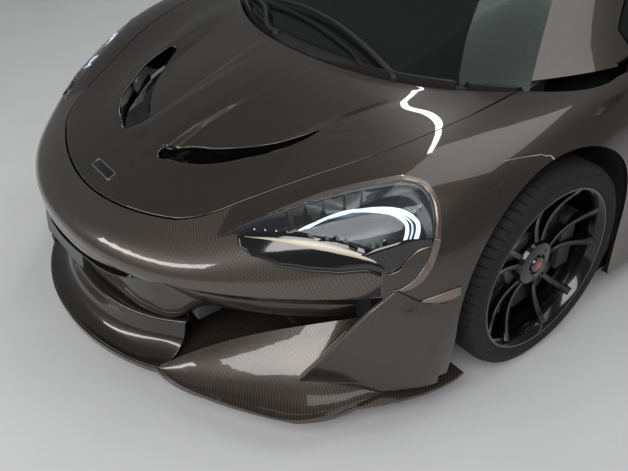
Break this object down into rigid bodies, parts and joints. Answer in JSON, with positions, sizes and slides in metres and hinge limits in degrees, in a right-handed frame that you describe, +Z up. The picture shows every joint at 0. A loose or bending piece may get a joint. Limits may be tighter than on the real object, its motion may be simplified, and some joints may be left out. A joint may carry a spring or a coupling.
{
  "type": "supercar",
  "caption": "Low mid-engined two-seat supercar with a wedge nose, tilting doors, an opening bonnet, steered front wheels and a rear wing.",
  "frame": {"origin": "on the floor, at mid width and mid length", "axes": "+Z up, -Y towards the nose, +X towards the left-hand side of the car"},
  "size_m": [2.08, 4.604, 1.1894],
  "materials": {
    "paint": "metallic gloss",
    "carbon": "gloss over a visible weave",
    "clear_glass": "clear",
    "tail_lens": "gloss",
    "tyre": "matt",
    "wheel_black": "gloss",
    "tub_carbon": "satin",
    "frame_alloy": "satin",
    "arm_alloy": "forged",
    "engine_alloy": "cast",
    "black_plastic": "matt",
    "trim_dark": "satin",
    "seat_leather": "satin",
    "wheel_leather": "satin",
    "exhaust_steel": "brushed"
  },
  "bodies": {
    "body_shell": {"arch_liners": "black_plastic", "console": "trim_dark", "corner_blades": "paint", "cowl": "black_plastic", "dashboard": "trim_dark", "diffuser": "carbon", "dive_planes": "carbon", "engine": "engine_alloy", "engine_cover": "paint", "exhaust_tips": "exhaust_steel", "front_arms": "arm_alloy", "front_bumper": "paint", "front_fenders": "paint", "front_frame": "frame_alloy", "front_grille": "black_plastic", "headlamps": "clear_glass", "intake_lip": "carbon", "nose_band": "carbon", "rear_arms": "arm_alloy", "rear_bumper": "paint", "rear_frame": "frame_alloy", "rear_glass": "clear_glass", "rear_grille": "black_plastic", "rear_quarters": "paint", "rear_uprights": "arm_alloy", "rear_wing": "paint", "roof": "paint", "seats": "seat_leather", "side_intakes": "black_plastic", "side_radiators": "black_plastic", "side_skirts": "carbon", "splitter": "carbon", "tail_lamps": "tail_lens", "tub": "tub_carbon", "windscreen": "clear_glass", "wipers": "black_plastic"},
    "bonnet": {"bonnet": "paint", "bonnet_ducts": "black_plastic"},
    "door_left": {"door_left": "paint", "door_glass_left": "clear_glass", "mirror_left": "paint"},
    "door_right": {"door_right": "paint", "door_glass_right": "clear_glass", "mirror_right": "paint"},
    "knuckle_left": {"knuckle_left": "arm_alloy"},
    "knuckle_right": {"knuckle_right": "arm_alloy"},
    "wheel_front_left": {"tyre_front_left": "tyre", "rim_front_left": "wheel_black"},
    "wheel_front_right": {"tyre_front_right": "tyre", "rim_front_right": "wheel_black"},
    "wheel_rear_left": {"tyre_rear_left": "tyre", "rim_rear_left": "wheel_black"},
    "wheel_rear_right": {"tyre_rear_right": "tyre", "rim_rear_right": "wheel_black"},
    "steering_wheel": {"steering_wheel": "wheel_leather"}
  },
  "joints": [
    {"name": "bonnet_hinge", "type": "hinge", "parent": "body_shell", "child": "bonnet", "pos_m": [0, -1.117, 0.745], "axis": [-1, 0, 0], "range_deg": [0, 55]},
    {"name": "door_left_hinge", "type": "hinge", "parent": "body_shell", "child": "door_left", "pos_m": [0.9, -0.883, 0.75], "axis": [0.1067, -0.4447, -0.8893], "range_deg": [0, 65]},
    {"name": "door_right_hinge", "type": "hinge", "parent": "body_shell", "child": "door_right", "pos_m": [-0.9, -0.883, 0.75], "axis": [0.1067, 0.4447, 0.8893], "range_deg": [0, 65]},
    {"name": "steer_left", "type": "hinge", "parent": "body_shell", "child": "knuckle_left", "pos_m": [0.754, -1.217, 0.32], "axis": [0, 0, 1], "range_deg": [-30, 30]},
    {"name": "steer_right", "type": "hinge", "parent": "body_shell", "child": "knuckle_right", "pos_m": [-0.754, -1.217, 0.32], "axis": [0, 0, 1], "range_deg": [-30, 30]},
    {"name": "spin_front_left", "type": "hinge", "parent": "knuckle_left", "child": "wheel_front_left", "pos_m": [0.8365, -1.217, 0.32], "axis": [-1, 0, 0], "continuous": true},
    {"name": "spin_front_right", "type": "hinge", "parent": "knuckle_right", "child": "wheel_front_right", "pos_m": [-0.8365, -1.217, 0.32], "axis": [-1, 0, 0], "continuous": true},
    {"name": "spin_rear_left", "type": "hinge", "parent": "body_shell", "child": "wheel_rear_left", "pos_m": [0.8045, 1.453, 0.354], "axis": [-1, 0, 0], "continuous": true},
    {"name": "spin_rear_right", "type": "hinge", "parent": "body_shell", "child": "wheel_rear_right", "pos_m": [-0.8045, 1.453, 0.354], "axis": [-1, 0, 0], "continuous": true},
    {"name": "steering_wheel_turn", "type": "hinge", "parent": "body_shell", "child": "steering_wheel", "pos_m": [0.33, -0.417, 0.69], "axis": [0, -0.9809, -0.1946], "range_deg": [-400, 400]}
  ],
  "couplings": [
    {"joint": "steer_right", "follows": "steer_left", "ratio": 1},
    {"joint": "steering_wheel_turn", "follows": "steer_left", "ratio": -12}
  ]
}
